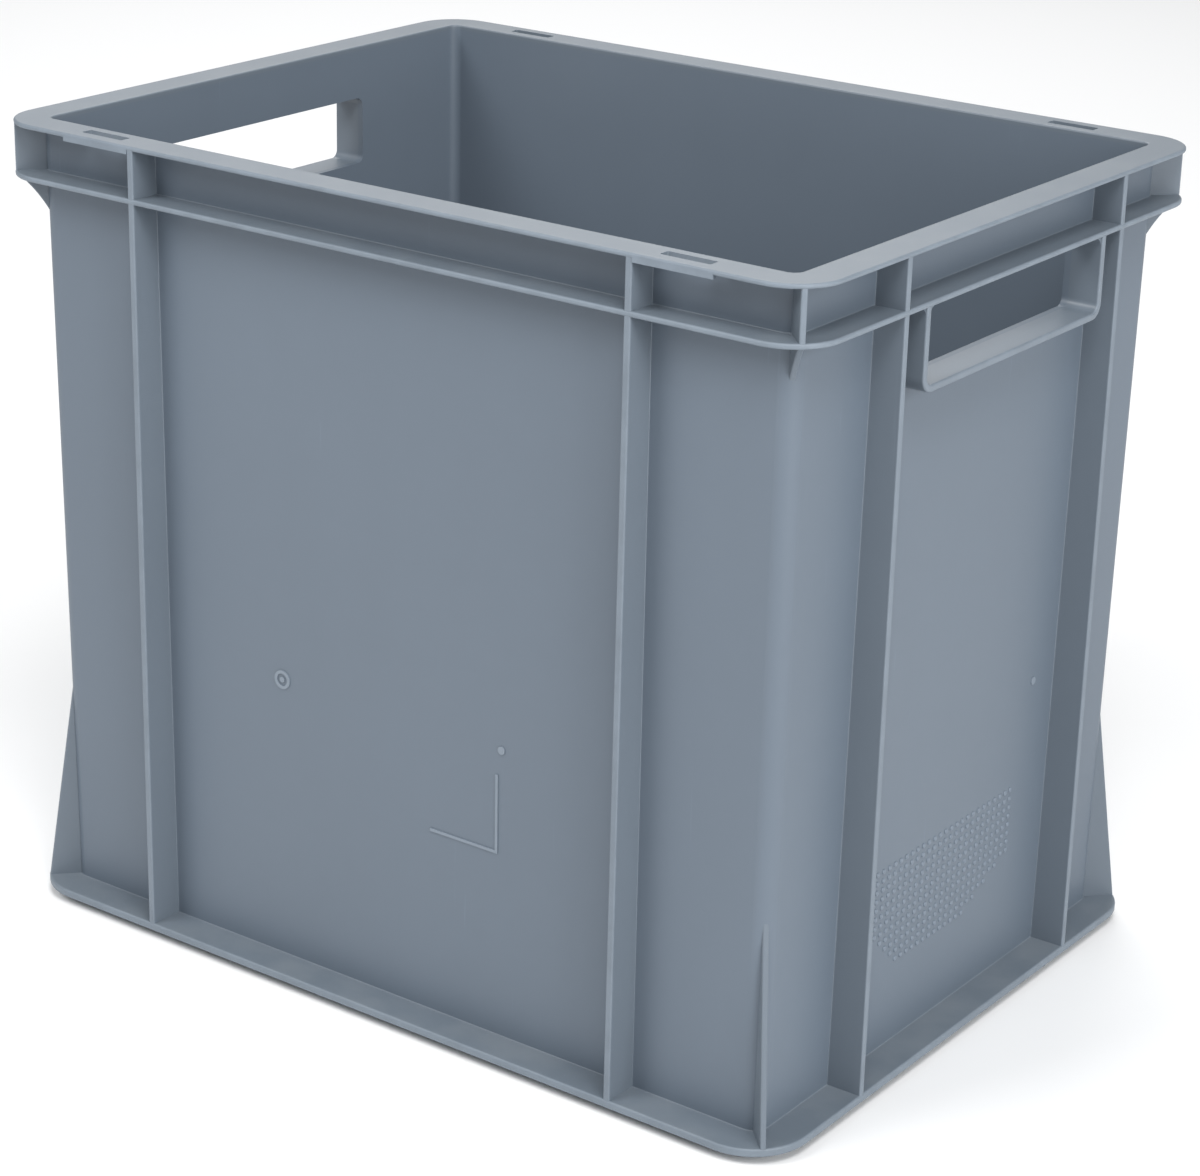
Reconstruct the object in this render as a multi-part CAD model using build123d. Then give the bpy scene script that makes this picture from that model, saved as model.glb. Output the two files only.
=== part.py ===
from build123d import *
import os
from math import cos, radians, sin, sqrt, tan

# Straight-sided stacking container with open hand-holes in both short ends, injection moulded in
# one shot. It is modelled as its moulded features: each is a solid of its own, and they meet face
# to face. X runs along the length, Y across and Z up. The origin is at the centre of the footprint,
# on the ground. Front is -Y, rear +Y, left -X and right +X. Every size is in millimetres.

# ---- overall sizes
length = 400.0
width = 300.0
height = 352.0

# ---- tub: walls, floor and stacking foot
wall = 2.8
rim_overhang = 13.2
wall_draft = 0.4
wall_corner_radius = 7.0
foot_depth = 4.0
foot_band = 10.0
foot_edge_round = 1.5
floor_thickness = 3.0
floor_cove = 3.0
gate_mark_diameter = 16.0
gate_mark_height = 0.6

# ---- flanges around the tub
rim_corner_radius = 21.0
base_corner_radius = 26.0
top_flange_thickness = 2.0
lower_flange_thickness = 2.3
rim_band = 23.9
base_flange_thickness = 3.6
edge_round = 0.9
inner_edge_round = 0.8
root_cove = 0.4
tip_set_back = 0.2

# ---- upright ribs
rib_end_distance = 77.3
rib_handle_gap = 13.8
rib_tip_thickness = 3.0
rib_root_thickness = 3.5
rib_tip_round = 0.6
rib_root_cove = 0.4

# ---- upright diagonal webs at the four corners
corner_web_thickness = 2.4
corner_web_round = 0.7
gusset_drop = 15.0
gusset_hollow = 0.6
fin_rise = 90.0

# ---- hand-holes and the frames around them
handle_width = 132.0
handle_height = 30.5
handle_low_radius = 3.5
handle_high_radius = 4.0
handle_plate = 3.0
handle_plate_round = 0.8
handle_join_radius = 2.5

# ---- lid slots in the top flange, each beside a rib, with a deeper lip on the flange's edge
slot_length = 22.0
slot_width = 5.2
slot_corner_radius = 0.8
slot_edge_distance = 8.4
slot_rib_distance = 20.6
lip_length = 35.0
lip_depth = 3.4
lip_thickness = 2.0

# ---- small marks that stand up from the outside of the walls
mark_height = 0.5
mark_level = 135.0
mark_spread = 115.0
ring_mark_diameter = 8.2
ring_mark_band = 1.4
ring_mark_centre_diameter = 2.4
dot_mark_diameter = 3.4
end_mark_place = 63.0
label_corner_leg = 34.6
label_corner_line = 1.2
label_corner_place = 55.3
label_corner_level = 90.0

# ---- levels and places that follow from the sizes above
base_top = foot_depth + base_flange_thickness
floor_under = foot_depth - floor_thickness
top_flange_under = height - top_flange_thickness
lower_flange_under = height - rim_band
lower_flange_top = lower_flange_under + lower_flange_thickness
handle_bottom = lower_flange_under - handle_height
tub_half_x = length / 2 - rim_overhang
tub_half_y = width / 2 - rim_overhang
inner_corner_radius = wall_corner_radius - wall
long_rib_place = length / 2 - rib_end_distance
end_rib_place = handle_width / 2 + handle_plate + rib_handle_gap
into_wall = 1.0
into_flange_round = edge_round / 2

# Turn about Z that brings a feature drawn on the rear side round to each side.
SIDE_TURNS = {"rear": 0, "left": 90, "front": 180, "right": 270}
LONG_SIDES = ("front", "rear")
# Signs of X and Y at each corner.
CORNERS = {
    "front_left": (-1, -1),
    "front_right": (1, -1),
    "rear_left": (-1, 1),
    "rear_right": (1, 1),
}


def draft_inset(z):
    """How far the draft has carried the wall in from its place at the rim, at level z."""
    return (height - z) * tan(radians(wall_draft))


def tub_section(z, shrink, radius):
    """The tub's rounded rectangle at level z, moved in by shrink."""
    half_x = tub_half_x - draft_inset(z) - shrink
    half_y = tub_half_y - draft_inset(z) - shrink
    return Plane.XY.offset(z) * RectangleRounded(2 * half_x, 2 * half_y, radius)


def tub_form(z_low, z_high, shrink=0.0, radius=wall_corner_radius):
    """The solid tapered form of the tub between two levels."""
    low = tub_section(z_low, shrink, radius).face()
    high = tub_section(z_high, shrink, radius).face()
    return loft([low, high], ruled=True)


def block(x_low, x_high, y_low, y_high, z_low, z_high):
    """A box between two corners."""
    centre = Pos((x_low + x_high) / 2, (y_low + y_high) / 2, (z_low + z_high) / 2)
    return centre * Box(x_high - x_low, y_high - y_low, z_high - z_low)


tub_outside = tub_form(-foot_depth, height + foot_depth)
tub_inside = tub_form(-foot_depth, height + foot_depth, wall, inner_corner_radius)


# ---- hand-holes

def hand_hole_outline(grow, high):
    """The hand-hole as seen from the end, moved out by grow at the sides and the bottom."""
    half = handle_width / 2 + grow
    low = handle_bottom - grow
    outline = make_face(Polyline((-half, low), (half, low), (half, high), (-half, high), close=True))
    return fillet(outline.vertices().group_by(Axis.Y)[0], handle_low_radius + grow)


def hand_hole_sketch():
    """The hand-hole itself, with rounded corners under the lower flange too."""
    outline = hand_hole_outline(0, lower_flange_under)
    return fillet(outline.vertices().group_by(Axis.Y)[-1], handle_high_radius)


def pushed_along_x(sketch, x_low, x_high):
    """A sketch drawn in end view, as a solid from x_low to x_high."""
    end_view = Plane(origin=(x_low, 0, 0), x_dir=(0, 1, 0), z_dir=(1, 0, 0))
    return extrude(end_view * sketch, x_high - x_low)


def handle_join_sketch():
    """The coves where a frame's two sides meet the lower flange, inside and outside them."""
    joins = Sketch()
    for edge, out, radius in (
        (handle_width / 2, -1, handle_high_radius),
        (handle_width / 2 + handle_plate, 1, handle_join_radius),
    ):
        for side in (-1, 1):
            corner = Pos(side * (edge + out * radius / 2), lower_flange_under - radius / 2)
            hollow = Pos(side * (edge + out * radius), lower_flange_under - radius)
            joins += corner * Rectangle(radius, radius) - hollow * Circle(radius)
    return joins


def handle_frame(side, lower_flange):
    """One U-shaped frame round a hand-hole, standing out from the end wall as far as the rim."""
    high = lower_flange_under + into_flange_round
    plate_sketch = hand_hole_outline(handle_plate, high) - hand_hole_outline(0, high)
    wall_place = tub_half_x - rim_overhang
    frame = pushed_along_x(plate_sketch, wall_place, length / 2)
    outer_rim = frame.faces().sort_by(Axis.X)[-1].edges()
    frame = fillet(outer_rim.filter_by(lambda edge: edge.center().Z < high), handle_plate_round)
    frame += pushed_along_x(handle_join_sketch(), wall_place, length / 2 - edge_round)
    frame = frame - tub_outside - lower_flange
    return frame if side == "right" else Rot(0, 0, 180) * frame


# ---- tub

def tub_walls():
    """The four walls and four corner shells, cut from one tapered shell."""
    shell = tub_form(foot_depth, top_flange_under) - tub_inside
    holes = pushed_along_x(hand_hole_sketch(), -length, length)
    split_x = tub_half_x - draft_inset(foot_depth) - wall_corner_radius - into_wall
    split_y = tub_half_y - draft_inset(foot_depth) - wall_corner_radius - into_wall
    walls = {
        "front_wall": shell & block(-split_x, split_x, -width, -split_y, 0, height),
        "rear_wall": shell & block(-split_x, split_x, split_y, width, 0, height),
        "left_wall": (shell & block(-length, -split_x, -split_y, split_y, 0, height)) - holes,
        "right_wall": (shell & block(split_x, length, -split_y, split_y, 0, height)) - holes,
    }
    for corner, (side_x, side_y) in CORNERS.items():
        x_low, x_high = sorted((side_x * split_x, side_x * length))
        y_low, y_high = sorted((side_y * split_y, side_y * width))
        walls[f"{corner}_corner"] = shell & block(x_low, x_high, y_low, y_high, 0, height)
    return walls


def foot_ring():
    """The raised band that the container stands on, with the cove inside the floor's edge."""
    ring = tub_form(0, foot_depth)
    ring = fillet(ring.edges().group_by(Axis.Z)[0], foot_edge_round)
    ring -= tub_form(-foot_depth, 2 * foot_depth, foot_band)
    hollow = tub_form(foot_depth, foot_depth + 2 * floor_cove, wall, inner_corner_radius)
    floor_edge = hollow.edges().group_by(Axis.Z)[0]
    cove = hollow - fillet(floor_edge, min(floor_cove, 0.9 * inner_corner_radius))
    return ring + cove


def floor_panel():
    """The flat bottom inside the foot ring, its underside a little above the ground."""
    return tub_form(floor_under, foot_depth, foot_band)


def gate_mark():
    """The low round pad where the plastic entered the mould, under the middle of the floor."""
    pad = Cylinder(gate_mark_diameter / 2, gate_mark_height)
    return Pos(0, 0, floor_under - gate_mark_height / 2) * pad


# ---- flanges

def flange_plate(z_low, z_high, corner_radius):
    """A full plate of the container's outline with its outer edges rounded, as far as it can be."""
    thickness = z_high - z_low
    outline = Plane.XY.offset(z_low) * RectangleRounded(length, width, corner_radius)
    plate = extrude(outline, thickness)
    outer_edges = plate.edges().group_by(Axis.Z)
    return fillet(outer_edges[0] + outer_edges[-1], min(edge_round, 0.45 * thickness))


def is_on_tub(edge):
    """Whether an edge lies along the tub, not along a flange's outline."""
    middle = edge.center()
    return abs(middle.X) < tub_half_x + root_cove / 2 and abs(middle.Y) < tub_half_y + root_cove / 2


def coved(flange, *levels):
    """A flange cut to fit the tub, with a root fillet on its face at each of those levels."""
    whole = flange + tub_outside
    for level in levels:
        junction = whole.edges().filter_by_position(Axis.Z, level, level).filter_by(is_on_tub)
        whole = fillet(junction, root_cove)
    return whole - tub_outside


def base_flange():
    """The wide flange round the bottom of the tub."""
    return coved(flange_plate(foot_depth, base_top, base_corner_radius), base_top)


def lower_flange():
    """The flange under the rim, which closes the rim channel."""
    plate = flange_plate(lower_flange_under, lower_flange_top, rim_corner_radius)
    return coved(plate, lower_flange_under, lower_flange_top)


def slot_places():
    """X and Y of the middle of each lid slot."""
    x = long_rib_place + slot_rib_distance
    y = width / 2 - slot_edge_distance
    return [(side_x * x, side_y * y) for side_x, side_y in CORNERS.values()]


def top_flange():
    """The rim's flat top, with its rounded inner edge and four lid slots."""
    flange = flange_plate(top_flange_under, height, rim_corner_radius)
    flange = coved(flange, top_flange_under) + tub_form(top_flange_under, height)
    flange = flange - tub_inside
    top_face = flange.faces().sort_by(Axis.Z)[-1]
    flange = fillet(top_face.inner_wires()[0].edges(), inner_edge_round)
    for x, y in slot_places():
        opening = RectangleRounded(slot_length, slot_width, slot_corner_radius)
        flange -= Pos(x, y, height - rim_band / 2) * extrude(opening, rim_band)
    return flange


# ---- upright ribs

def rib_section(tub_half, tip, z):
    """A rib's section at level z, drawn on the rear side: coved root, slight taper, rounded tip.
    The cove runs a little way into the wall, so that it meets the face at an angle."""
    cove_low = tub_half - draft_inset(z) - rib_root_cove / 8
    root = rib_root_thickness / 2
    end = rib_tip_thickness / 2
    hollow = rib_root_cove * (1 - 1 / sqrt(2))
    bulge = rib_tip_round * (1 - 1 / sqrt(2))
    behind = (root + rib_root_cove, cove_low - into_wall)
    wide = (root + rib_root_cove, cove_low)
    cove_middle = (root + hollow, cove_low + hollow)
    cove_end = (root, cove_low + rib_root_cove)
    shoulder = (end, tip - rib_tip_round)
    round_middle = (end - bulge, tip - bulge)
    flat = (end - rib_tip_round, tip)
    half = Line(behind, wide) + ThreePointArc(wide, cove_middle, cove_end)
    half += Line(cove_end, shoulder) + ThreePointArc(shoulder, round_middle, flat)
    other = mirror(half, about=Plane.YZ)
    tip_line = Line(flat, (-flat[0], flat[1]))
    back_line = Line(behind, (-behind[0], behind[1]))
    return Plane.XY.offset(z) * make_face(half + other + tip_line + back_line)


def upright_rib(side, along, z_low, z_high, flanges):
    """A rib on one side, that far along it from the middle, trimmed to the tub and the flanges."""
    long_side = side in LONG_SIDES
    tub_half = tub_half_y if long_side else tub_half_x
    tip = (width if long_side else length) / 2 - tip_set_back
    low = rib_section(tub_half, tip, z_low - into_flange_round).face()
    high = rib_section(tub_half, tip, z_high + into_flange_round).face()
    rib = Pos(along, 0, 0) * loft([low, high], ruled=True)
    rib = Rot(0, 0, SIDE_TURNS[side]) * rib - tub_outside
    for flange in flanges:
        rib -= flange
    return rib


def rib_name(side, rib):
    """Front, rear, left or right: which of a side's two ribs this is."""
    middle = rib.center()
    if side in LONG_SIDES:
        return "left" if middle.X < 0 else "right"
    return "front" if middle.Y < 0 else "rear"


def ribs(kind, z_low, z_high, flanges):
    """Two ribs on each of the four sides, by name."""
    made = {}
    for side in SIDE_TURNS:
        place = long_rib_place if side in LONG_SIDES else end_rib_place
        for along in (-place, place):
            rib = upright_rib(side, along, z_low, z_high, flanges)
            made[f"{side}_{kind}_{rib_name(side, rib)}"] = rib
    return made


# ---- diagonal webs at the corners

def tub_corner_at(z):
    """Distance from the corner's reference axis out to the tub's surface on the diagonal."""
    return wall_corner_radius - sqrt(2) * draft_inset(z)


def flange_corner_at(corner_radius):
    """The same distance, out to the edge of a flange."""
    centre_shift = corner_radius - wall_corner_radius - rim_overhang
    return corner_radius - sqrt(2) * centre_shift


def corner_web(corner, outline, flanges):
    """A web on a corner's diagonal, from an outline of distance out against height."""
    side_x, side_y = CORNERS[corner]
    axis_x = side_x * (tub_half_x - wall_corner_radius)
    axis_y = side_y * (tub_half_y - wall_corner_radius)
    outward = Vector(side_x, side_y, 0).normalized()
    across = outward.cross(Vector(0, 0, 1))
    diagonal = Plane(origin=(axis_x, axis_y, 0), x_dir=outward, z_dir=across)
    web = extrude(diagonal * outline, corner_web_thickness / 2, both=True)
    web = fillet(outer_edges(web, outward), corner_web_round)
    web = web - tub_outside
    for flange in flanges:
        web -= flange
    return web


def outer_edges(web, outward):
    """The two long edges of a web's outward face."""
    outward_faces = web.faces().filter_by(lambda face: face.normal_at().dot(outward) > 0.5)
    return outward_faces.sort_by(SortBy.AREA)[-1].edges().sort_by(SortBy.LENGTH)[-2:]


def fin_outline():
    """Long triangle that flares from the wall down to the edge of the base flange."""
    top = base_top + fin_rise
    inside = tub_corner_at(0) - into_wall
    edge = flange_corner_at(base_corner_radius) - tip_set_back
    foot = base_top - into_flange_round
    points = [(inside, foot), (edge, foot), (tub_corner_at(top), top), (inside, top)]
    return make_face(Polyline(*points, close=True))


def gusset_outline():
    """Short hollow-edged triangle under the lower flange."""
    inside = tub_corner_at(0) - into_wall
    edge = flange_corner_at(rim_corner_radius)
    high = lower_flange_under + into_flange_round
    low = lower_flange_under - gusset_drop
    wall_point = (tub_corner_at(low), low)
    edge_point = (edge - edge_round, high)
    middle = (
        (wall_point[0] + edge_point[0]) / 2 - gusset_hollow,
        (wall_point[1] + edge_point[1]) / 2 + gusset_hollow,
    )
    outline = Polyline((inside, low), (inside, high), edge_point)
    outline += ThreePointArc(edge_point, middle, wall_point)
    outline += Line(wall_point, (inside, low))
    return make_face(outline)


def rim_web_outline():
    """Rectangle that spans the rim channel."""
    inside = tub_corner_at(0) - into_wall
    edge = flange_corner_at(rim_corner_radius) - tip_set_back
    low = lower_flange_top - into_flange_round
    high = top_flange_under + into_flange_round
    return make_face(Polyline((inside, low), (edge, low), (edge, high), (inside, high), close=True))


# ---- lips beside the lid slots

def lid_lip(corner, top, neighbours):
    """The deeper stretch of the top flange's edge in front of a lid slot."""
    side_x, side_y = CORNERS[corner]
    rib_side = long_rib_place + rib_tip_thickness / 2
    x_low, x_high = sorted((side_x * rib_side, side_x * (rib_side + lip_length)))
    y_low, y_high = sorted((side_y * (width / 2 - lip_thickness), side_y * width / 2))
    lip = block(x_low, x_high, y_low, y_high, height - lip_depth, height - edge_round)
    lip = lip - top
    for rib in neighbours:
        lip -= rib
    return lip


# ---- marks on the walls

def front_wall_face():
    """The outer face of the front wall, from the middle of its length at the marks' level."""
    lean = radians(wall_draft)
    y = draft_inset(mark_level) - tub_half_y
    return Plane(origin=(0, y, mark_level), x_dir=(1, 0, 0), z_dir=(0, -cos(lean), -sin(lean)))


def right_wall_face():
    """The outer face of the right wall, likewise."""
    lean = radians(wall_draft)
    x = tub_half_x - draft_inset(mark_level)
    return Plane(origin=(x, 0, mark_level), x_dir=(0, 1, 0), z_dir=(cos(lean), 0, -sin(lean)))


def ring_mark():
    """A raised ring on the front wall."""
    ring = Circle(ring_mark_diameter / 2) - Circle(ring_mark_diameter / 2 - ring_mark_band)
    return extrude(front_wall_face() * Pos(-mark_spread / 2, 0) * ring, mark_height)


def ring_mark_centre():
    """The raised point in the middle of the ring."""
    point = Circle(ring_mark_centre_diameter / 2)
    return extrude(front_wall_face() * Pos(-mark_spread / 2, 0) * point, mark_height)


def front_dot():
    """A raised dot on the front wall, level with the ring."""
    return extrude(front_wall_face() * Pos(mark_spread / 2, 0) * Circle(dot_mark_diameter / 2), mark_height)


def end_dot():
    """A raised dot on the right wall, at the same level."""
    return extrude(right_wall_face() * Pos(end_mark_place, 0) * Circle(dot_mark_diameter / 2), mark_height)


def label_corner():
    """Two thin raised lines that mark the lower corner of a label's place."""
    middle = (label_corner_leg - label_corner_line) / 2
    upright = Pos(0, middle) * Rectangle(label_corner_line, label_corner_leg)
    level = Pos(-middle, 0) * Rectangle(label_corner_leg, label_corner_line)
    place = Pos(label_corner_place, label_corner_level - mark_level)
    return extrude(front_wall_face() * place * (upright + level), mark_height)


# ---- the whole container

def container():
    """Every node by name."""
    nodes = {"floor_panel": floor_panel(), "foot_ring": foot_ring(), "gate_mark": gate_mark()}
    nodes.update(tub_walls())
    base = base_flange()
    lower = lower_flange()
    top = top_flange()
    nodes.update({"base_flange": base, "lower_flange": lower, "top_flange": top})
    wall_ribs = ribs("rib", base_top, lower_flange_under, [base, lower])
    rim_ribs = ribs("rim_rib", lower_flange_top, top_flange_under, [lower, top])
    nodes.update(wall_ribs)
    nodes.update(rim_ribs)
    for corner in CORNERS:
        nodes[f"{corner}_fin"] = corner_web(corner, fin_outline(), [base])
        nodes[f"{corner}_gusset"] = corner_web(corner, gusset_outline(), [lower])
        nodes[f"{corner}_rim_web"] = corner_web(corner, rim_web_outline(), [lower, top])
        nodes[f"{corner}_lid_lip"] = lid_lip(corner, top, rim_ribs.values())
    for side in ("left", "right"):
        nodes[f"{side}_handle_frame"] = handle_frame(side, lower)
    nodes["ring_mark"] = ring_mark()
    nodes["ring_mark_centre"] = ring_mark_centre()
    nodes["front_dot_mark"] = front_dot()
    nodes["end_dot_mark"] = end_dot()
    nodes["label_corner_mark"] = label_corner()
    return nodes


os.makedirs("parts", exist_ok=True)
for name, shape in container().items():
    export_step(shape, f"parts/{name}.step")
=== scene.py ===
import math

import bpy
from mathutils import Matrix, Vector


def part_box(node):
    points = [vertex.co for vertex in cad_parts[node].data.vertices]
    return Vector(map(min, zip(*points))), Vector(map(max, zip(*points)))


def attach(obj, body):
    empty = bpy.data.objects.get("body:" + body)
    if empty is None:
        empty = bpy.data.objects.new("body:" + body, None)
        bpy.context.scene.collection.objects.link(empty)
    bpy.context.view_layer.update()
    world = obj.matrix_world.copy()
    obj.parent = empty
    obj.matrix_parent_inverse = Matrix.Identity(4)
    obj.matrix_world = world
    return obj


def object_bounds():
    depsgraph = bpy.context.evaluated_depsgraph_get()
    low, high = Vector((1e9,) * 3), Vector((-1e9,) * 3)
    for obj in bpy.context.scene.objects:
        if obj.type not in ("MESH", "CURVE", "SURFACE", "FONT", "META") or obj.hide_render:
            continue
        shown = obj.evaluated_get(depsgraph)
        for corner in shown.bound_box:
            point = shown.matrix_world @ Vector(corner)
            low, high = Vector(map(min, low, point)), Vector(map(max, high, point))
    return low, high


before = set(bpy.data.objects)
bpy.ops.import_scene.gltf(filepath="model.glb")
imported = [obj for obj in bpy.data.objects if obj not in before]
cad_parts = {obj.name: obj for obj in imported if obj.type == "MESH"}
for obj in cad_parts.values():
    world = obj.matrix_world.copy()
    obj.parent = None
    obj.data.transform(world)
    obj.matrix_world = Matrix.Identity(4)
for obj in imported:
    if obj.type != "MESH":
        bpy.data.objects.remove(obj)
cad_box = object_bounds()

# ============================================================================================
# Floor and stacking foot. The container is one injection moulding in blue-grey polypropylene.
# The melt enters through a gate under the middle of the floor and flows out and up from there,
# which leaves a satin skin with a very fine grain and a faint drift of colour.
# ============================================================================================
floor_colour = (0.124, 0.149, 0.176, 1.0)


def part_place(tree):
    """Position on the container itself, in metres from the middle of its foot."""
    return tree.nodes.new("ShaderNodeTexCoord").outputs["Object"]


def wire(tree, start, end):
    """Feeds one node's output into another node's input."""
    tree.links.new(start, end)


def work_out(tree, operation, first, second=None, third=None):
    """A Math node; each operand is a number or the output that feeds it."""
    step = tree.nodes.new("ShaderNodeMath")
    step.operation = operation
    for operand, socket in zip((first, second, third), step.inputs):
        if isinstance(operand, (int, float)):
            socket.default_value = operand
        elif operand is not None:
            wire(tree, operand, socket)
    return step.outputs["Value"]


def cloud(tree, place, scale, detail=2.0, roughness=0.5, stretch=None):
    """Soft procedural noise from 0 to 1, stretched along the axes where stretch is given."""
    if stretch:
        mapping = tree.nodes.new("ShaderNodeMapping")
        mapping.inputs["Scale"].default_value = stretch
        wire(tree, place, mapping.inputs["Vector"])
        place = mapping.outputs["Vector"]
    noise = tree.nodes.new("ShaderNodeTexNoise")
    wire(tree, place, noise.inputs["Vector"])
    if isinstance(scale, (int, float)):
        noise.inputs["Scale"].default_value = scale
    else:
        wire(tree, scale, noise.inputs["Scale"])
    noise.inputs["Detail"].default_value = detail
    noise.inputs["Roughness"].default_value = roughness
    return noise.outputs[0]


def between(tree, value, low, high):
    """The value taken smoothly from the range low to high to the range 0 to 1."""
    spread = tree.nodes.new("ShaderNodeMapRange")
    spread.interpolation_type = "SMOOTHSTEP"
    for operand, name in ((value, "Value"), (low, "From Min"), (high, "From Max")):
        if isinstance(operand, (int, float)):
            spread.inputs[name].default_value = operand
        else:
            wire(tree, operand, spread.inputs[name])
    return spread.outputs["Result"]


def effect(name, inputs, outputs):
    """An empty node group with named inputs and outputs: (name, socket type, default)."""
    group = bpy.data.node_groups.new(name, "ShaderNodeTree")
    for socket_name, socket_type, value in inputs:
        socket = group.interface.new_socket(socket_name, in_out="INPUT", socket_type=socket_type)
        socket.default_value = value
    for socket_name, socket_type in outputs:
        group.interface.new_socket(socket_name, in_out="OUTPUT", socket_type=socket_type)
    given = group.nodes.new("NodeGroupInput")
    result = group.nodes.new("NodeGroupOutput")
    return group, given.outputs, result.inputs


# The tool's eroded surface, printed into the skin: a fine even grain over a coarser, fainter one.
coarse_to_fine = 0.23
coarse_weight = 0.5
mould_grain, given, result = effect(
    "mould grain",
    [("Grains Per Metre", "NodeSocketFloat", 900.0), ("Depth", "NodeSocketFloat", 0.5)],
    [("Height", "NodeSocketFloat")],
)
skin = part_place(mould_grain)
fine = cloud(mould_grain, skin, given["Grains Per Metre"], detail=3.0, roughness=0.6)
coarse_grains = work_out(mould_grain, "MULTIPLY", given["Grains Per Metre"], coarse_to_fine)
coarse = cloud(mould_grain, skin, coarse_grains)
grain = work_out(mould_grain, "MULTIPLY_ADD", coarse, coarse_weight, fine)
wire(mould_grain, work_out(mould_grain, "MULTIPLY", grain, given["Depth"]), result["Height"])

# Slow drift of colour where the melt cooled at different rates, with faint upright flow lines
# and a fine mottle. The blend of the three swings about its middle value.
fine_weight = 0.35
blend_middle = 0.5 * (1 + 2 * fine_weight)
brightness_swing = 2.0
melt_drift, given, result = effect(
    "melt drift",
    [("Colour", "NodeSocketColor", floor_colour), ("Drift", "NodeSocketFloat", 0.05)],
    [("Colour", "NodeSocketColor")],
)
skin = part_place(melt_drift)
broad = cloud(melt_drift, skin, scale=7.0, detail=3.0)
lines = cloud(melt_drift, skin, scale=30.0, stretch=(1.0, 1.0, 0.12))
mottle = cloud(melt_drift, skin, scale=60.0, detail=4.0, roughness=0.65)
blend = work_out(melt_drift, "MULTIPLY_ADD", lines, fine_weight, broad)
blend = work_out(melt_drift, "MULTIPLY_ADD", mottle, fine_weight, blend)
swing = work_out(melt_drift, "SUBTRACT", blend, blend_middle)
shift = work_out(melt_drift, "MULTIPLY", swing, given["Drift"])
brightness = melt_drift.nodes.new("ShaderNodeHueSaturation")
new_value = work_out(melt_drift, "MULTIPLY_ADD", shift, brightness_swing, 1.0)
wire(melt_drift, new_value, brightness.inputs["Value"])
wire(melt_drift, given["Colour"], brightness.inputs["Color"])
wire(melt_drift, brightness.outputs["Color"], result["Colour"])

# Rub marks: short upright scratches from goods and from other containers sliding past. They
# come in patches, and a higher density lets more of the streaks through.
sparse_threshold = 0.78
density_gain = 0.2
streak_softness = 0.09
slide_scratches, given, result = effect(
    "slide scratches",
    [("Amount", "NodeSocketFloat", 0.3), ("Density", "NodeSocketFloat", 0.5)],
    [("Mask", "NodeSocketFloat")],
)
skin = part_place(slide_scratches)
streaks = cloud(slide_scratches, skin, scale=420.0, stretch=(1.0, 1.0, 0.035))
patches = cloud(slide_scratches, skin, scale=18.0)
threshold = work_out(slide_scratches, "MULTIPLY_ADD", given["Density"], -density_gain, sparse_threshold)
full_streak = work_out(slide_scratches, "ADD", threshold, streak_softness)
streak_mask = between(slide_scratches, streaks, threshold, full_streak)
patch_mask = between(slide_scratches, patches, low=0.5, high=0.72)
both = work_out(slide_scratches, "MULTIPLY", streak_mask, patch_mask)
wire(slide_scratches, work_out(slide_scratches, "MULTIPLY", both, given["Amount"]), result["Mask"])

# Dust: a thin pale film on surfaces that face up.
settled_dust, given, result = effect(
    "settled dust", [("Amount", "NodeSocketFloat", 0.2)], [("Mask", "NodeSocketFloat")]
)
normal = settled_dust.nodes.new("ShaderNodeTexCoord").outputs["Normal"]
parts = settled_dust.nodes.new("ShaderNodeSeparateXYZ")
wire(settled_dust, normal, parts.inputs["Vector"])
facing_up = between(settled_dust, parts.outputs["Z"], low=0.4, high=0.95)
clumps = cloud(settled_dust, part_place(settled_dust), scale=45.0, detail=5.0)
drifts = between(settled_dust, clumps, low=0.35, high=0.75)
film = work_out(settled_dust, "MULTIPLY", facing_up, drifts)
wire(settled_dust, work_out(settled_dust, "MULTIPLY", film, given["Amount"]), result["Mask"])

# Rim highlight: a painted highlight. The skin is painted paler and made duller on the faces that stand out
# furthest, the rib tips and rim edges. It is broken up in blotches, and a set part of it is left where it
# is thinnest.
rim_corner_radius = 0.021
least_highlight = 0.4
rim_highlight, given, result = effect(
    "painted rim highlight",
    [
        ("Half Length", "NodeSocketFloat", 0.2),
        ("Half Width", "NodeSocketFloat", 0.15),
        ("Corner Radius", "NodeSocketFloat", rim_corner_radius),
        ("Reach", "NodeSocketFloat", 0.0015),
        ("Amount", "NodeSocketFloat", 0.3),
    ],
    [("Mask", "NodeSocketFloat")],
)
skin = part_place(rim_highlight)
parts = rim_highlight.nodes.new("ShaderNodeSeparateXYZ")
wire(rim_highlight, skin, parts.inputs["Vector"])
squares = []
for axis, half in (("X", "Half Length"), ("Y", "Half Width")):
    out = work_out(rim_highlight, "ABSOLUTE", parts.outputs[axis])
    straight = work_out(rim_highlight, "SUBTRACT", given[half], given["Corner Radius"])
    past = work_out(rim_highlight, "MAXIMUM", work_out(rim_highlight, "SUBTRACT", out, straight), 0.0)
    squares.append(work_out(rim_highlight, "MULTIPLY", past, past))
reached = work_out(rim_highlight, "SQRT", work_out(rim_highlight, "ADD", *squares))
start = work_out(rim_highlight, "SUBTRACT", given["Corner Radius"], given["Reach"])
outermost = between(rim_highlight, reached, start, given["Corner Radius"])
blotches = cloud(rim_highlight, skin, scale=70.0, detail=4.0, roughness=0.6)
broken = between(rim_highlight, blotches, low=0.25, high=0.7)
kept = work_out(rim_highlight, "MULTIPLY_ADD", broken, 1.0 - least_highlight, least_highlight)
lit_edges = work_out(rim_highlight, "MULTIPLY", outermost, kept)
wire(rim_highlight, work_out(rim_highlight, "MULTIPLY", lit_edges, given["Amount"]), result["Mask"])

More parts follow.
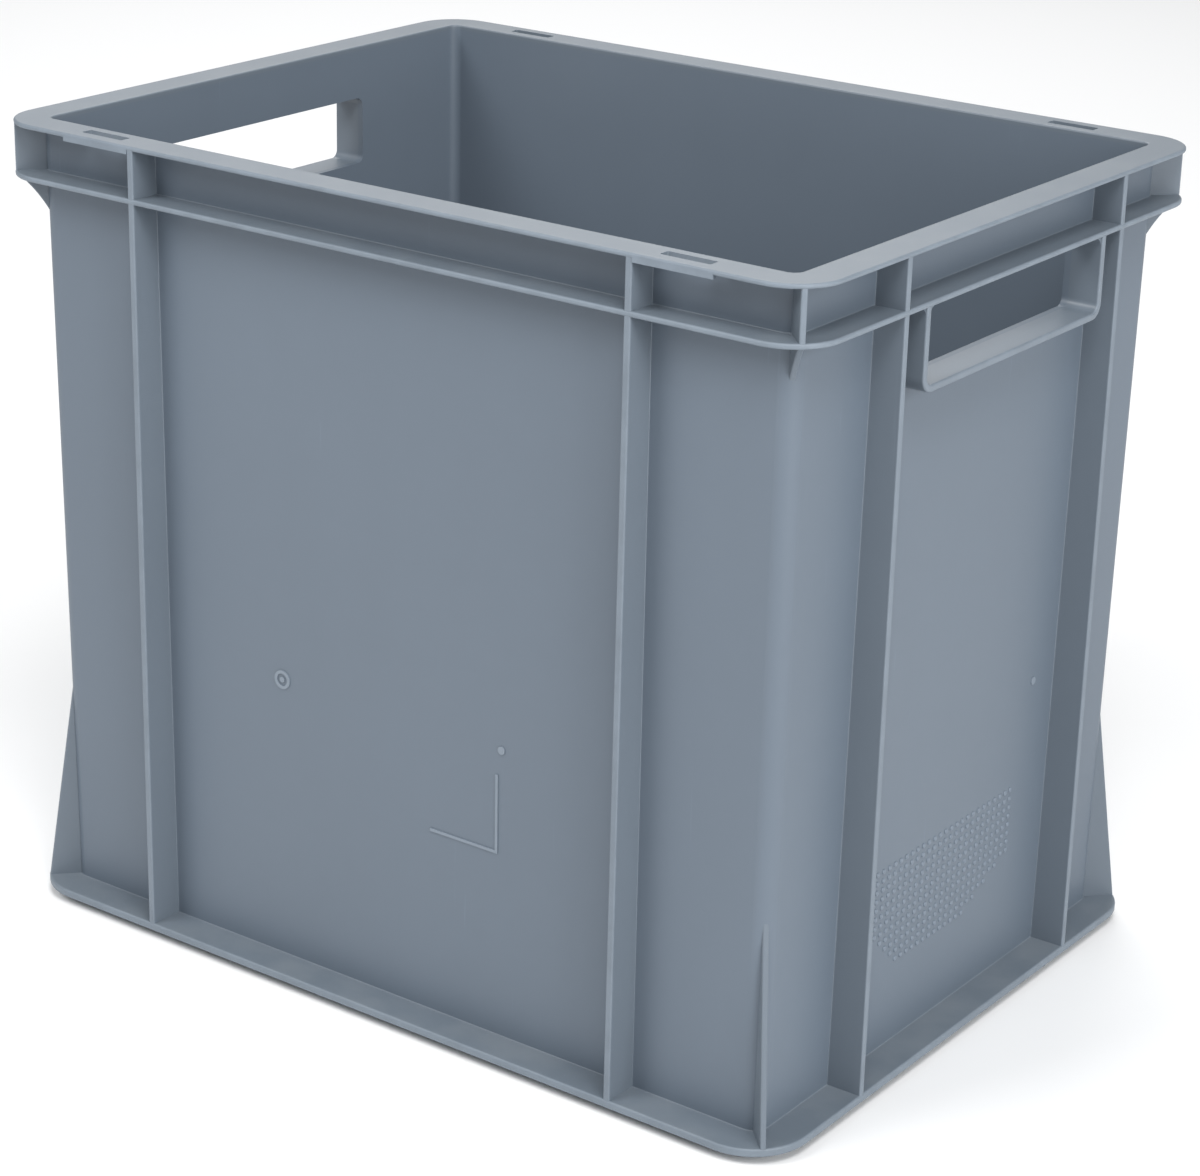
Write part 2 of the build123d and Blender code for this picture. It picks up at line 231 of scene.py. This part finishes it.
dust_colour = (0.50, 0.51, 0.50, 1.0)
half_length = cad_box[1].x
half_width = cad_box[1].y
polypropylene_ior = 1.49
specular_level = 0.45
scratch_and_highlight_gain = 1.75
scratch_and_highlight_lift = 0.03
polish_spread = 0.10
marks_roughness = 0.35
skin_bump = 0.35
skin_relief = 0.00012
skin_grains_per_metre = 1100.0
highlight_reach = 0.0012
scratch_density = 0.5


def moulded_plastic(
    name, colour, roughness, drift=0.05, grain=0.5, scratches=0.2, dust=0.0, edge_highlight=0.0,
    corner=rim_corner_radius,
):
    """One finish of the container's plastic, from the shared effects with its own values."""
    material = bpy.data.materials.new(name)
    material.use_nodes = True
    tree = material.node_tree
    shader = tree.nodes["Principled BSDF"]
    shader.inputs["IOR"].default_value = polypropylene_ior
    shader.inputs["Specular IOR Level"].default_value = specular_level

    def place(group, **values):
        """The group in this material; half_length=... sets its Half Length input."""
        node = tree.nodes.new("ShaderNodeGroup")
        node.node_tree = group
        for input_name, value in values.items():
            node.inputs[input_name.replace("_", " ").title()].default_value = value
        return node.outputs[0]

    colour_now = place(melt_drift, colour=colour, drift=drift)
    scratch_mask = place(slide_scratches, amount=scratches, density=scratch_density)
    dust_mask = place(settled_dust, amount=dust)
    outline = {"half_length": half_length, "half_width": half_width, "corner_radius": corner}
    highlight_mask = place(rim_highlight, reach=highlight_reach, amount=edge_highlight, **outline)
    # The pale tone serves both the rubbed colour of the scratches and the painted highlight on the
    # outermost edges.
    scratch_and_highlight_tone = tuple(min(1.0, scratch_and_highlight_gain * value + scratch_and_highlight_lift) for value in colour[:3]) + (1.0,)
    for mask, tone in ((scratch_mask, scratch_and_highlight_tone), (highlight_mask, scratch_and_highlight_tone), (dust_mask, dust_colour)):
        mix = tree.nodes.new("ShaderNodeMix")
        mix.data_type = "RGBA"
        wire(tree, mask, mix.inputs["Factor"])
        wire(tree, colour_now, mix.inputs["A"])
        mix.inputs["B"].default_value = tone
        colour_now = mix.outputs["Result"]
    wire(tree, colour_now, shader.inputs["Base Color"])

    marks = work_out(tree, "MAXIMUM", scratch_mask, work_out(tree, "MAXIMUM", highlight_mask, dust_mask))
    sheen_drift = cloud(tree, part_place(tree), scale=14.0, detail=3.0)
    polish = work_out(tree, "MULTIPLY_ADD", sheen_drift, polish_spread, roughness - polish_spread / 2)
    wire(tree, work_out(tree, "MULTIPLY_ADD", marks, marks_roughness, polish), shader.inputs["Roughness"])

    bump = tree.nodes.new("ShaderNodeBump")
    bump.inputs["Strength"].default_value = skin_bump
    bump.inputs["Distance"].default_value = skin_relief
    height = place(mould_grain, grains_per_metre=skin_grains_per_metre, depth=grain)
    wire(tree, work_out(tree, "SUBTRACT", height, scratch_mask), bump.inputs["Height"])
    wire(tree, bump.outputs["Normal"], shader.inputs["Normal"])
    return material


def give_finish(material, *node_names):
    """The CAD pieces of those names take a finish."""
    for name in node_names:
        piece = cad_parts[name]
        piece.data.materials.clear()
        piece.data.materials.append(material)


give_finish(
    moulded_plastic("plastic floor", floor_colour, roughness=0.5, drift=0.06, scratches=0.4, dust=0.2),
    "floor_panel", "foot_ring", "gate_mark",
)

# ============================================================================================
# Walls and corner shells. The four walls and the rounded corners between them are one thin
# drafted shell, drawn upwards off the tool's core, so their faint marks all run upright.
# ============================================================================================
wall_colour = (0.119, 0.148, 0.184, 1.0)
wall_plastic = moulded_plastic("plastic wall", wall_colour, roughness=0.46, scratches=0.18)
corners = ("front_left", "front_right", "rear_left", "rear_right")
give_finish(wall_plastic, "front_wall", "rear_wall", "left_wall", "right_wall")
give_finish(wall_plastic, *(f"{corner}_corner" for corner in corners))

# ============================================================================================
# Flanges. Three flat frames round the tub: a wide base flange that stacks on the rim below, the
# lower rim flange, and the top of the rim with the deeper lips beside its lid slots. All are
# moulded with the walls. Their colour is lighter than the walls' as painted light on faces that
# face up, and their outer edges carry the painted rim highlight.
# ============================================================================================
lit_flange_colour = (0.129, 0.156, 0.186, 1.0)
flange_plastic = moulded_plastic(
    "plastic flange", lit_flange_colour, roughness=0.42, scratches=0.15, dust=0.05, edge_highlight=0.42
)
give_finish(flange_plastic, "lower_flange", "top_flange")
give_finish(flange_plastic, *(f"{corner}_lid_lip" for corner in corners))
# The base flange's colour is lighter again than the rim flanges', as painted light.
lit_base_flange_colour = (0.132, 0.160, 0.191, 1.0)
base_corner_radius = 0.026
base_flange_plastic = moulded_plastic(
    "plastic base flange", lit_base_flange_colour, roughness=0.44, dust=0.08, edge_highlight=0.3,
    corner=base_corner_radius,
)
give_finish(base_flange_plastic, "base_flange")

# ============================================================================================
# Ribs. Two upright ribs stiffen each side, full height below the lower flange and again in the
# rim channel, and diagonal webs brace the corners. They are moulded with the walls, and their
# tips stop a hair short of the rim's edge.
# ============================================================================================
# The ribs' colour is lighter than the walls' as painted light, and their tips carry the painted rim
# highlight.
lit_rib_colour = (0.129, 0.156, 0.187, 1.0)
rib_plastic = moulded_plastic("plastic rib", lit_rib_colour, roughness=0.44, scratches=0.15, edge_highlight=0.35)
side_ribs = {
    "front": ("left", "right"),
    "rear": ("left", "right"),
    "left": ("front", "rear"),
    "right": ("front", "rear"),
}
for side, ends in side_ribs.items():
    give_finish(rib_plastic, *(f"{side}_{kind}_{end}" for kind in ("rib", "rim_rib") for end in ends))
for web in ("fin", "gusset", "rim_web"):
    give_finish(rib_plastic, *(f"{corner}_{web}" for corner in corners))

# ============================================================================================
# Hand-hole frames. A U-shaped plate frames the opening in each end wall out to the rim, so that
# a hand finds a broad rounded edge. It is moulded with the wall, and hands keep it a little
# smoother than its neighbours.
# ============================================================================================
# The frame shares the ribs' lighter colour, painted light, and whatever of it stands out furthest carries
# the painted rim highlight.
frame_plastic = moulded_plastic(
    "plastic hand-hole frame", lit_rib_colour, roughness=0.38, scratches=0.10, edge_highlight=0.3
)
give_finish(frame_plastic, "left_handle_frame", "right_handle_frame")

# ============================================================================================
# Raised marks. A ring, two dots and the corner of a label's place stand half a millimetre proud
# of the walls. They are cut into the tool's face and are finished smoother; their colour is paler than the
# wall's as a painted highlight.
# ============================================================================================
mark_highlight_colour = (0.185, 0.220, 0.262, 1.0)
mark_plastic = moulded_plastic("plastic mark", mark_highlight_colour, roughness=0.4, scratches=0.0)
give_finish(
    mark_plastic, "ring_mark", "ring_mark_centre", "front_dot_mark", "end_dot_mark", "label_corner_mark"
)

# ============================================================================================
# Label patch. Low round pimples in even rows on the right-hand end wall keep a stuck label from
# gripping, so that it peels off clean. They are sunk dimples in the tool, so each is a low dome.
# ============================================================================================
pimple_radius = 0.00125
pimple_height = 0.00060
pimple_pitch_along = 0.0044
pimple_pitch_up = 0.0040
patch_top = 0.0890
patch_rows = 12
patch_rear_end = 0.0525
patch_front_end = -0.0550
patch_cut_row = 7
pimple_sides = 16
pimple_rings = 4
root_depth = 0.00005


def pimple(centre, along, up, out):
    """Points and faces of one low dome on a wall, its base just under the wall's face."""
    points = []
    for ring in range(pimple_rings):
        angle = math.pi / 2 * ring / pimple_rings
        radius = pimple_radius * math.cos(angle)
        lift = pimple_height * math.sin(angle) if ring else -root_depth
        for side in range(pimple_sides):
            turn = 2 * math.pi * side / pimple_sides
            flat = along * (radius * math.cos(turn)) + up * (radius * math.sin(turn))
            points.append(centre + flat + out * lift)
    points.append(centre + out * pimple_height)
    faces = []
    for side in range(pimple_sides):
        after = (side + 1) % pimple_sides
        for ring in range(pimple_rings - 1):
            low = ring * pimple_sides
            high = low + pimple_sides
            faces.append((low + side, low + after, high + after, high + side))
        top = (pimple_rings - 1) * pimple_sides
        faces.append((top + side, top + after, pimple_rings * pimple_sides))
    faces.append(tuple(reversed(range(pimple_sides))))
    return points, faces


wall_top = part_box("right_wall")[1]
wall_draft = math.radians(0.4)


def right_wall_face(level):
    """X of the right wall's outer face at that level, from its top edge and its draft."""
    return wall_top.x - (wall_top.z - level) * math.tan(wall_draft)


along = Vector((0, 1, 0))
up = Vector((math.sin(wall_draft), 0, math.cos(wall_draft)))
out = Vector((math.cos(wall_draft), 0, -math.sin(wall_draft)))
patch_points = []
patch_faces = []
for row in range(patch_rows):
    level = patch_top - row * pimple_pitch_up
    past_cut = max(0, row - patch_cut_row)
    front_end = patch_front_end + past_cut * pimple_pitch_along
    rear_end = patch_rear_end - past_cut * 2 * pimple_pitch_along
    count = int((rear_end - front_end) / pimple_pitch_along) + 1
    for step in range(count):
        centre = Vector((right_wall_face(level), front_end + step * pimple_pitch_along, level))
        points, faces = pimple(centre, along, up, out)
        start = len(patch_points)
        patch_points += points
        patch_faces += [tuple(start + corner for corner in face) for face in faces]
patch_mesh = bpy.data.meshes.new("label patch")
patch_mesh.from_pydata(patch_points, [], patch_faces)
patch_mesh.polygons.foreach_set("use_smooth", [len(face) <= 4 for face in patch_faces])
# The pimples' colour is paler than the wall's as a painted highlight on the domes.
pimple_highlight_colour = (0.152, 0.186, 0.228, 1.0)
patch_mesh.materials.append(moulded_plastic("plastic pimple", pimple_highlight_colour, roughness=0.4, scratches=0.0))
label_patch = bpy.data.objects.new("label_patch", patch_mesh)
bpy.context.scene.collection.objects.link(label_patch)
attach(label_patch, "root")

# ============================================================================================
# Studio. A plain pale floor with softboxes overhead, at the front left, on the right and
# behind, in a white surround.
# ============================================================================================
floor_reach = 9.0


def studio_paint(name, colour, roughness):
    """A plain matt paint."""
    material = bpy.data.materials.new(name)
    material.use_nodes = True
    shader = material.node_tree.nodes["Principled BSDF"]
    shader.inputs["Base Color"].default_value = colour
    shader.inputs["Roughness"].default_value = roughness
    return material


floor_mesh = bpy.data.meshes.new("studio floor")
turns = [(-1, -1), (1, -1), (1, 1), (-1, 1)]
floor_corners = [(x * floor_reach, y * floor_reach, 0.0) for x, y in turns]
floor_mesh.from_pydata(floor_corners, [], [(0, 1, 2, 3)])
floor_paint = (0.90, 0.90, 0.90, 1.0)
floor_mesh.materials.append(studio_paint("studio floor", floor_paint, roughness=0.9))
studio_floor = bpy.data.objects.new("studio_floor", floor_mesh)
bpy.context.scene.collection.objects.link(studio_floor)


def softbox(name, place, aim, size, power):
    """A square soft light that points at aim; the power is in watts."""
    light = bpy.data.lights.new(name, "AREA")
    light.shape = "RECTANGLE"
    light.size = size
    light.size_y = size
    light.energy = power
    lamp = bpy.data.objects.new(name, light)
    lamp.location = place
    lamp.rotation_euler = (Vector(aim) - Vector(place)).to_track_quat("-Z", "Y").to_euler()
    bpy.context.scene.collection.objects.link(lamp)


middle = (0.0, 0.0, 0.18)
softbox("overhead softbox", (0.9, -0.9, 1.9), middle, size=0.8, power=25.0)
softbox("front left softbox", (-0.9, -1.6, 1.8), middle, size=1.0, power=27.0)
softbox("right side softbox", (3.0, -0.8, 1.2), middle, size=1.6, power=66.0)
softbox("rear softbox", (-1.5, 1.8, 2.2), middle, size=1.8, power=35.0)

surround = bpy.data.worlds.new("studio surround")
surround.use_nodes = True
background = surround.node_tree.nodes["Background"]
surround_colour = (0.97, 0.985, 1.0, 1.0)
surround_strength = 0.40
background.inputs["Color"].default_value = surround_colour
background.inputs["Strength"].default_value = surround_strength
bpy.context.scene.world = surround
bpy.context.scene.view_settings.view_transform = "Standard"

# ============================================================================================
# Camera. It stands off the right-hand front corner, about 0.3 m above the rim, and looks down
# into the open top through a long lens.
# ============================================================================================
sensor_width = 36.0
focal_length = 96.81
camera_place = (0.77016, -1.06020, 0.64997)
camera_turn = (1.20618, -0.02307, 0.63347)
clip_end = 60.0
camera_data = bpy.data.cameras.new("camera")
camera_data.sensor_fit = "HORIZONTAL"
camera_data.sensor_width = sensor_width
camera_data.lens = focal_length
camera_data.clip_end = clip_end
camera = bpy.data.objects.new("camera", camera_data)
camera.location = camera_place
camera.rotation_euler = camera_turn
bpy.context.scene.collection.objects.link(camera)
bpy.context.scene.camera = camera
